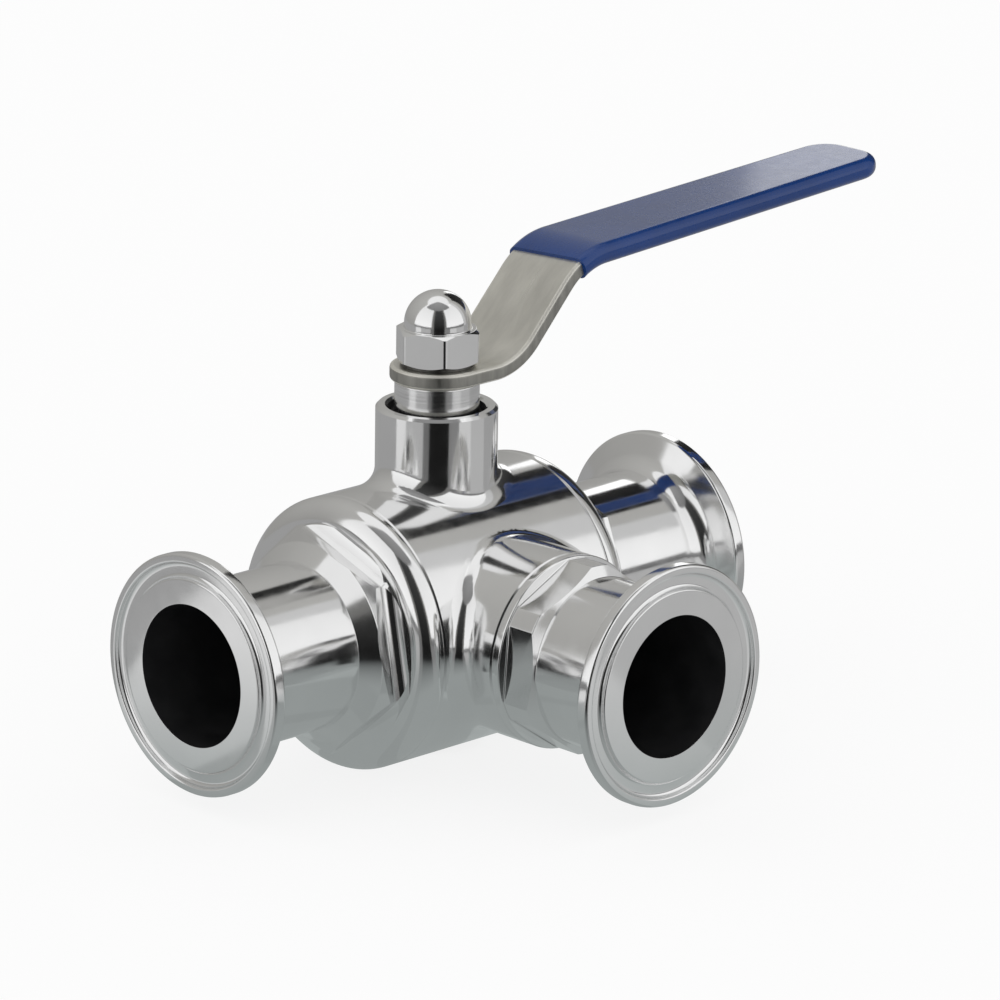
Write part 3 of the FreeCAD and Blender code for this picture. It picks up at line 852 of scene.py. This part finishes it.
class LeverSizes(bpy.types.PropertyGroup):
    """Sizes of the bent lever and its dipped sleeve."""
    bottom: size("Underside", "From the ball's centre to the lever's underside", 49.804)
    thickness: size("Thickness", "Thickness of the strip", 3.2)
    head_width: size("Head width", "Width of the strip at its round head", 19.8)
    tip_width: size("Tip width", "Width of the strip at its tip", 17.9)
    tip_x: size("Tip", "From the stem to the tip of the strip", 126.1)
    tip_radius: size("Tip radius", "Corner radius of the tip", 6.0)
    edge: size("Edge", "Rounding of the strip's edges", 0.8)
    lower_bend_x: size("Lower bend", "From the stem to the corner of the lower bend", 15.2)
    lower_bend_radius: size("Lower bend radius", "Radius of the lower bend at the underside", 16.8)
    upper_bend_x: size("Upper bend", "From the stem to the corner of the upper bend", 33.8)
    upper_bend_radius: size("Upper bend radius", "Radius of the upper bend at the underside", 15.0)
    arm_angle: angle("Arm", "Slope of the lever's arm", 46.9)
    grip_angle: angle("Grip", "Slope of the lever's grip", 3.5)
    hole_diameter: size("Hole", "Diameter of the double-D hole", 12.1)
    hole_flats: size("Hole flats", "Double-D hole across its flats", 9.1)
    sleeve_wall: size("Sleeve wall", "Thickness of the sleeve", 0.75)
    sleeve_rounding: size("Sleeve rounding", "Rounding of the sleeve's long edges", 2.1)
    sleeve_start: size("Sleeve start", "From the stem to the sleeve's open end", 31.9)
    sleeve_tilt: angle("Sleeve tilt", "Lean of the sleeve's open end from upright", 18.0)
    sleeve_skew: angle("Sleeve skew", "Skew of the sleeve's open end across the lever", 4.3)


def board(bar, margin, start_x, edge, rounding_steps):
    """Flat board in the lever's outline grown by a margin all round, with rounded rims."""
    head = bar.head_width / 2 + margin
    tip = bar.tip_width / 2 + margin
    tip_x = bar.tip_x + margin
    corners = [(start_x, -head), (tip_x, -tip), (tip_x, tip), (start_x, head)]
    if start_x <= 0:
        corners = [(-head, -head), (0, -head), *corners[1:3], (0, head), (-head, head)]
    mesh = bmesh.new()
    points = [mesh.verts.new((x * MM, y * MM, -margin * MM)) for x, y in corners]
    for pair in zip(points, points[1:] + points[:1]):
        mesh.edges.new(pair)
    for point, (x, _) in zip(points, corners):
        round_radius = bar.tip_radius + margin if x == tip_x else head
        if x == tip_x or x < 0:
            rounded(mesh, [point], round_radius * CORNER_SHARE * MM, CORNER_STEPS, "VERTICES")
    bmesh.ops.remove_doubles(mesh, verts=mesh.verts, dist=LEVEL)
    bottom = bmesh.ops.contextual_create(mesh, geom=mesh.edges[:])["faces"]
    raise_faces(mesh, bottom, bar.thickness + 2 * margin)
    face_outward(mesh)
    rims = [side for side in mesh.edges if abs(side.verts[0].co.z - side.verts[1].co.z) < LEVEL
            and any(abs(face.normal.z) < UPRIGHT_BELOW for face in side.link_faces)]
    rounded(mesh, rims, edge * MM, rounding_steps, "EDGES")
    return mesh


def strip_board(bar):
    """The strip before it is bent and pierced."""
    return board(bar, 0, 0, bar.edge, STRIP_ROUND_STEPS)


def double_d(bar):
    """Cutter of the hole that takes the stem's drive flats."""
    mesh = bmesh.new()
    bmesh.ops.create_circle(mesh, cap_ends=True, radius=bar.hole_diameter / 2 * MM, segments=HOLE_STEPS,
                            matrix=Matrix.Translation((0, 0, -bar.thickness * MM)))
    raise_faces(mesh, mesh.faces[:], 3 * bar.thickness)
    for side in (-1, 1):
        plane_off(mesh, (0, side * bar.hole_flats / 2 * MM, 0), (0, side, 0))
    face_outward(mesh)
    return mesh


def underside(bar, x):
    """Height in millimetres and slope in radians of the lever's underside, at x millimetres from the stem."""
    arm = math.radians(bar.arm_angle)
    grip = math.radians(bar.grip_angle)
    low_r = bar.lower_bend_radius
    high_r = bar.upper_bend_radius
    low_start = bar.lower_bend_x - low_r * math.tan(arm / 2)
    low_end = low_start + low_r * math.sin(arm)
    tangent = high_r * math.tan((arm - grip) / 2)
    high_start = bar.upper_bend_x - tangent * math.cos(arm)
    high_end = bar.upper_bend_x + tangent * math.cos(grip)
    low_rise = low_r * (1 - math.cos(arm))
    high_z = low_rise + (high_start - low_end) * math.tan(arm)
    high_rise = high_r * (math.cos(grip) - math.cos(arm))
    if x <= low_start:
        return 0.0, 0.0
    if x <= low_end:
        slope = math.asin((x - low_start) / low_r)
        return low_r * (1 - math.cos(slope)), slope
    if x <= high_start:
        return low_rise + (x - low_end) * math.tan(arm), arm
    if x <= high_end:
        slope = math.asin(math.sin(arm) - (x - high_start) / high_r)
        return high_z + high_r * (math.cos(slope) - math.cos(arm)), slope
    return high_z + high_rise + (x - high_end) * math.tan(grip), grip


def bent(mesh, bar):
    """Fold a flat board along the lever's side line, after cutting it into short lengths at the bends."""
    for step in range(int((BEND_TO - BEND_FROM) / BEND_STEP)):
        bmesh.ops.bisect_plane(mesh, geom=everything(mesh), dist=LEVEL,
                               plane_co=((BEND_FROM + step * BEND_STEP) * MM, 0, 0), plane_no=(1, 0, 0))
    for point in mesh.verts:
        height, slope = underside(bar, point.co.x / MM)
        lift = point.co.z
        point.co.x -= lift * math.sin(slope)
        point.co.z = (bar.bottom + height) * MM + lift * math.cos(slope)
    face_outward(mesh)
    return mesh


def lever_mesh(bar):
    """Bent strip with its hole; its sides and rounded edges get the second and third material."""
    flat = carved(strip_board(bar), double_d(bar))
    for face in flat.faces:
        # Upright sides get the darker sheared steel, whose darkness is partly painted shade.
        if abs(face.normal.z) < SIDE_BELOW:
            face.material_index = 1
        elif abs(face.normal.z) < FACE_ABOVE:
            face.material_index = 2
    return bent(flat, bar)


def sleeve_mesh(bar):
    """Sleeve folded over the lever's grip, cut off askew at its open end."""
    lead = bar.sleeve_start - SLEEVE_TRIM
    outside = board(bar, bar.sleeve_wall, lead, bar.sleeve_rounding, SLEEVE_ROUND_STEPS)
    mesh = bent(carved(outside, strip_board(bar)), bar)
    height, _ = underside(bar, bar.sleeve_start)
    middle = (bar.sleeve_start * MM, 0, (bar.bottom + height + bar.thickness / 2) * MM)
    tilt = Matrix.Rotation(-math.radians(bar.sleeve_tilt), 3, "Y")
    skew = Matrix.Rotation(math.radians(bar.sleeve_skew), 3, "Z")
    cut = bmesh.ops.bisect_plane(mesh, geom=everything(mesh), dist=MERGE, plane_co=middle,
                                 plane_no=tilt @ skew @ Vector((1, 0, 0)), clear_inner=True)
    bmesh.ops.bridge_loops(mesh, edges=edges_of(cut["geom_cut"]))
    face_outward(mesh)
    return mesh


class VALVE_OT_lever(bpy.types.Operator):
    """Make the bent lever and its dipped sleeve"""
    bl_idname = "valve.lever"
    bl_label = "Lever and sleeve"

    def execute(self, context):
        bar = context.scene.valve_lever
        look = context.scene.valve_look
        place = Matrix.Translation(BALL_CENTRE)
        # The second steel, on the strip's sides, is darkened as painted shade.
        steels = [strip_steel(look), sheared_steel_side_shade(look), rubbed_steel(look)]
        finish_piece("lever_strip", lever_mesh(bar), place, steels, "lever")
        finish_piece("grip_sleeve", sleeve_mesh(bar), place, [dipped_vinyl(look)], "lever_sleeve")
        return {"FINISHED"}


# Studio

CARD_RADIUS = 0.7
CARD_STEPS_UP = 16
CARD_STEPS_ROUND = 24
SHEET_LIFT = 0.0002
# The sheets' brightness changes between these shares of the card radius, from the painted shadow under the
# valve to the level away from it.
NEAR_FLOOR = 0.10
FAR_FLOOR = 0.24
FLOOR_RADIUS = 30.0
FLOOR_STEPS = 64
FLOOR_PAINT = 0.85
FLOOR_GLOW = 0.85
WHITE = (1.0, 1.0, 1.0)
WARM = (1.0, 0.99, 0.955)
COOL = (0.93, 1.0, 0.99)
CARDS = [
    # name, tint, from and to azimuth off the camera's, from and to elevation,
    # brightness below and above, share of the card radius
    ("right_wash", WHITE, 98, 111, -4, 64, 0.50, 0.62, 1.0),
    ("back_wall", WARM, 111, 275, -4, 64, 0.32, 0.46, 1.0),
    ("back_ceiling", WHITE, 75, 285, 64, 90, 0.90, 0.90, 1.0),
    ("front_ceiling", WHITE, -75, 75, 58, 90, 0.20, 0.30, 1.0),
    ("left_softbox", WHITE, -85, -21, 3, 58, 1.00, 0.85, 1.0),
    ("left_skirt", WHITE, -85, -21, -4, 3, 0.12, 0.25, 1.0),
    ("left_gap", WARM, -21, -13, -4, 58, 0.18, 0.16, 1.0),
    ("front_flag", WHITE, -13, 23, -4, 58, 0.012, 0.05, 1.0),
    ("right_gap", WARM, 23, 30, -4, 58, 0.18, 0.16, 1.0),
    ("right_softbox", WHITE, 30, 98, 3, 58, 1.00, 0.85, 1.0),
    ("right_skirt", WHITE, 30, 98, -4, 3, 0.08, 0.20, 1.0),
    ("right_flag", WHITE, 127, 165, 5, 53, 0.05, 0.005, 0.97),
    ("back_softbox", WHITE, 165, 172.5, 6, 34, 1.30, 1.30, 0.97),
]
FLOOR_SHEETS = [
    # name, from and to azimuth off the camera's, brightness under the valve, which is a painted shadow, and
    # away from it
    ("left_pale_sheet", -79, -58, 0.40, 0.74),
    ("left_grey_sheet", -58, -24, 0.34, 0.43),
    ("left_dark_sheet", -24, -13, 0.32, 0.15),
    ("front_black_sheet", -13, 23, 0.34, 0.01),
    ("right_dark_sheet", 23, 42, 0.34, 0.22),
    ("right_bright_sheet", 42, 66, 0.40, 0.62),
    ("right_pale_sheet", 66, 98, 0.42, 0.46),
    ("back_sheet", 98, 281, 0.29, 0.35),
]


class ValveStudio(bpy.types.PropertyGroup):
    """Place and lens of the camera."""
    camera_azimuth: angle("Azimuth", "Direction of the camera round the valve", -44.0174)
    camera_elevation: angle("Elevation", "Height of the camera above the horizon", 17.7350)
    camera_roll: angle("Roll", "Turn of the camera about its own line of sight", -0.7079)
    camera_yaw: angle("Yaw", "Sideways aim off the ball's centre", -0.5916)
    camera_pitch: angle("Pitch", "Upward aim off the ball's centre", 0.9978)
    camera_distance: bpy.props.FloatProperty(
        name="Distance", description="From the ball's centre to the camera", default=1.303758, unit="LENGTH")
    camera_lens: size("Lens", "Focal length on a sensor 36 mm wide", 224.402)


def direction(azimuth, elevation):
    """Unit vector from the ball's centre, from an azimuth and an elevation in degrees."""
    turn = math.radians(azimuth)
    rise = math.radians(elevation)
    return Vector((math.sin(turn) * math.cos(rise), -math.cos(turn) * math.cos(rise), math.sin(rise)))


def make_camera(studio):
    """Camera that looks past the ball's centre, turned off it by yaw, pitch and roll."""
    back = direction(studio.camera_azimuth, studio.camera_elevation)
    right = Vector((0, 0, 1)).cross(back).normalized()
    axes = Matrix((right, back.cross(right), back)).transposed()
    aim = Matrix.Rotation(math.radians(studio.camera_yaw), 3, "Y")
    aim = aim @ Matrix.Rotation(math.radians(studio.camera_pitch), 3, "X")
    aim = aim @ Matrix.Rotation(-math.radians(studio.camera_roll), 3, "Z")
    data = bpy.data.cameras.new("camera")
    camera = link_object("camera", data)
    camera.matrix_world = (axes @ aim).to_4x4()
    camera.location = BALL_CENTRE + back * studio.camera_distance
    data.sensor_width = 36.0
    data.lens = studio.camera_lens
    data.clip_start = 0.05
    data.clip_end = 50.0
    bpy.context.scene.camera = camera


def glow_material(name, levels, measured_by, centre, reach):
    """Emission on a ramp over a reach, by the height over a point or the distance from it."""
    material = new_material(name)
    place = add_node(material, "ShaderNodeTexCoord")
    shift = add_node(material, "ShaderNodeVectorMath", {1: centre}, {0: (place, "Object")},
                     operation="SUBTRACT")
    if measured_by == "height":
        parts = add_node(material, "ShaderNodeSeparateXYZ", links={"Vector": (shift, "Vector")})
        measure = (parts, "Z")
    else:
        length = add_node(material, "ShaderNodeVectorMath", links={0: (shift, "Vector")}, operation="LENGTH")
        measure = (length, "Value")
    share = add_node(material, "ShaderNodeMath", {1: reach}, {0: measure}, operation="DIVIDE")
    blend = ramp(material, share, levels, "Value")
    light = add_node(material, "ShaderNodeEmission", links={"Color": (blend, "Color")})
    show(material, light, "Emission")
    return material


def stage_mesh(name, mesh, material):
    """Piece of the stage from a bmesh."""
    piece = link_object(name, to_data(name, mesh))
    give_material(piece, material)
    return piece


def make_reflector(name, mesh, levels, measured_by, centre, reach):
    """Glowing piece of the stage that shows only where the steel mirrors it."""
    piece = stage_mesh(name, mesh, glow_material(name, levels, measured_by, centre, reach))
    for ray in ("camera", "diffuse", "transmission", "volume_scatter", "shadow"):
        setattr(piece, "visible_" + ray, False)


def make_card(name, tint, start, end, low, high, dim, bright, nearness, studio):
    """Upright reflector round the valve, a slice of a dome."""
    mesh = bmesh.new()
    first = studio.camera_azimuth + start
    radius = CARD_RADIUS * nearness
    foot = mesh.verts.new(BALL_CENTRE + direction(first, low) * radius)
    bmesh.ops.spin(mesh, geom=[foot], cent=BALL_CENTRE, axis=direction(first - 90, 0),
                   angle=math.radians(high - low), steps=CARD_STEPS_UP)
    bmesh.ops.spin(mesh, geom=mesh.verts[:] + mesh.edges[:], cent=BALL_CENTRE, axis=(0, 0, 1),
                   angle=math.radians(end - start), steps=CARD_STEPS_ROUND)
    heights = [(math.sin(math.radians(elevation)) + 1) / 2 for elevation in (low, high)]
    levels = list(zip(heights, (tone(tint, dim), tone(tint, bright))))
    make_reflector(name, mesh, levels, "height", BALL_CENTRE - Vector((0, 0, radius)), 2 * radius)


def make_floor_sheet(name, start, end, near, far, studio):
    """Slice of the grey mat that the steel mirrors under the valve; its cool grey level under the valve is a
    painted shadow.
    """
    mesh = bmesh.new()
    middle = Vector((BALL_CENTRE.x, BALL_CENTRE.y, FLOOR_Z + SHEET_LIFT))
    spoke = direction(studio.camera_azimuth + start, 0)
    ends = [mesh.verts.new(middle), mesh.verts.new(middle + spoke * CARD_RADIUS)]
    ends.append(mesh.edges.new(ends))
    bmesh.ops.spin(mesh, geom=ends, cent=middle, axis=(0, 0, 1), angle=math.radians(end - start),
                   steps=CARD_STEPS_ROUND)
    bmesh.ops.remove_doubles(mesh, verts=mesh.verts, dist=MERGE)
    # Under the valve the sheet takes a cool grey: painted shadow of the valve.
    levels = [(NEAR_FLOOR, tone(COOL, near)), (FAR_FLOOR, tone(WHITE, far))]
    make_reflector(name, mesh, levels, "distance", middle, CARD_RADIUS)


def backdrop_material():
    """Plain white floor: white as seen and as mirrored, and shaded by the valve's soft shadow."""
    material = new_material("floor")
    paint = add_node(material, "ShaderNodeBsdfDiffuse", {"Color": (*tone(WHITE, FLOOR_PAINT), 1)})
    glow = add_node(material, "ShaderNodeEmission", {"Color": (*WHITE, 1), "Strength": 1.0})
    path = add_node(material, "ShaderNodeLightPath")
    seen = add_node(material, "ShaderNodeMath", operation="MAXIMUM",
                    links={0: (path, "Is Camera Ray"), 1: (path, "Is Glossy Ray")})
    seen_through = add_node(material, "ShaderNodeMath", operation="MAXIMUM",
                            links={0: (seen, 0), 1: (path, "Is Transmission Ray")})
    share = add_node(material, "ShaderNodeMath", {1: FLOOR_GLOW}, {0: (seen_through, 0)},
                     operation="MULTIPLY")
    mix = add_node(material, "ShaderNodeMixShader",
                   links={0: (share, 0), 1: (paint, "BSDF"), 2: (glow, "Emission")})
    show(material, mix, "Shader")
    return material


def make_floor():
    mesh = bmesh.new()
    bmesh.ops.create_circle(mesh, cap_ends=True, radius=FLOOR_RADIUS, segments=FLOOR_STEPS,
                            matrix=Matrix.Translation((BALL_CENTRE.x, BALL_CENTRE.y, FLOOR_Z)))
    stage_mesh("floor", mesh, backdrop_material())


def make_world():
    """White surroundings, which are the soft light."""
    world = bpy.data.worlds.new("studio")
    world.use_nodes = True
    background = world.node_tree.nodes["Background"]
    background.inputs["Color"].default_value = (*WHITE, 1)
    background.inputs["Strength"].default_value = 1.0
    bpy.context.scene.world = world


class VALVE_OT_studio(bpy.types.Operator):
    """Set up the floor, the soft light, the reflector cards and the camera"""
    bl_idname = "valve.studio"
    bl_label = "Set up the studio"

    def execute(self, context):
        studio = context.scene.valve_studio
        make_world()
        make_floor()
        for card in CARDS:
            make_card(*card, studio)
        for sheet in FLOOR_SHEETS:
            make_floor_sheet(*sheet, studio)
        make_camera(studio)
        context.scene.view_settings.view_transform = "Standard"
        return {"FINISHED"}


# Registration and run

OPERATORS = [VALVE_OT_finishes, VALVE_OT_run_caps, VALVE_OT_branch_cap, VALVE_OT_stem_group,
             VALVE_OT_lever, VALVE_OT_studio]


class VALVE_PT_panel(bpy.types.Panel):
    """Buttons for the operators, in the order in which they run"""
    bl_idname = "VALVE_PT_panel"
    bl_label = "Three-way ball valve"
    bl_space_type = "VIEW_3D"
    bl_region_type = "UI"
    bl_category = "Valve"

    def draw(self, context):
        for operator in OPERATORS:
            self.layout.operator(operator.bl_idname)


SIZE_GROUPS = {
    "valve_look": ValveLook,
    "valve_run_cap": RunCapSizes,
    "valve_branch_cap": BranchCapSizes,
    "valve_stem_group": StemGroupSizes,
    "valve_lever": LeverSizes,
    "valve_studio": ValveStudio,
}
CLASSES = [*SIZE_GROUPS.values(), *OPERATORS, VALVE_PT_panel]


def register():
    for each in CLASSES:
        bpy.utils.register_class(each)
    for name, group in SIZE_GROUPS.items():
        setattr(bpy.types.Scene, name, bpy.props.PointerProperty(type=group))


def unregister():
    for name in SIZE_GROUPS:
        delattr(bpy.types.Scene, name)
    for each in reversed(CLASSES):
        bpy.utils.unregister_class(each)


def main():
    register()
    bpy.ops.valve.finishes()
    bpy.ops.valve.run_caps()
    bpy.ops.valve.branch_cap()
    bpy.ops.valve.stem_group()
    bpy.ops.valve.lever()
    bpy.ops.valve.studio()


if __name__ == "__main__":
    main()
